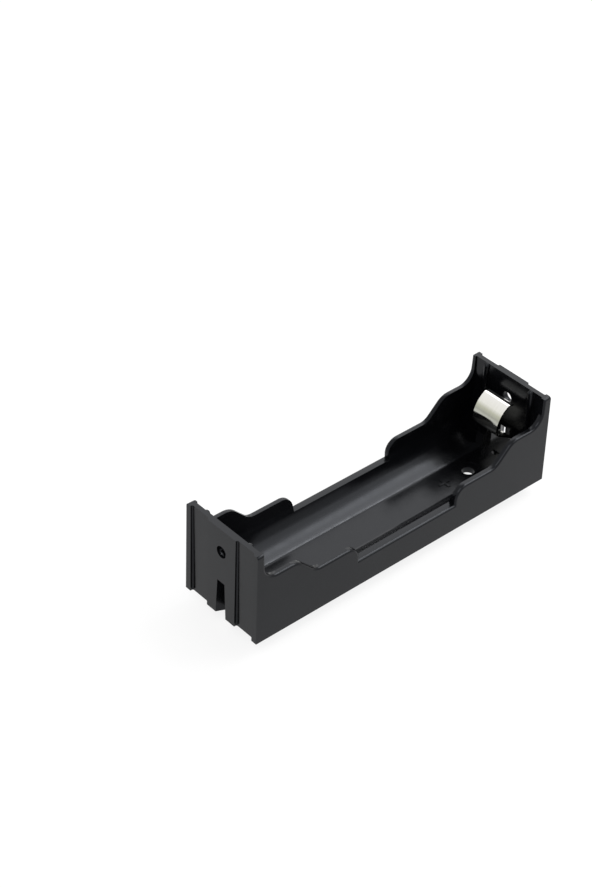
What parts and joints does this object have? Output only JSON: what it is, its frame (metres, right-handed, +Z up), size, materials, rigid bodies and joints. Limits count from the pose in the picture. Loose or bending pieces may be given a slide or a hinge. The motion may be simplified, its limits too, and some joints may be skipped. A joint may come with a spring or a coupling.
{
  "type": "cylindrical cell holder",
  "caption": "Open moulded trough that holds a cylindrical cell lengthwise between sprung strip contacts, with stepped side walls, ribbed end walls and solder pins for a circuit board.",
  "frame": {"origin": "middle of the board face, halfway between the screw holes", "axes": "+X along the cell, +Y across the holder, +Z up from the board through the open top"},
  "size_m": [0.0776, 0.0208, 0.0243],
  "materials": {
    "housing": "black moulded plastic with a satin sheen",
    "contact": "bright nickel-plated spring strip with faint rolling lines"
  },
  "bodies": {
    "root": {"holder_body": "housing", "left_contact": "contact", "right_contact": "contact"}
  },
  "joints": []
}
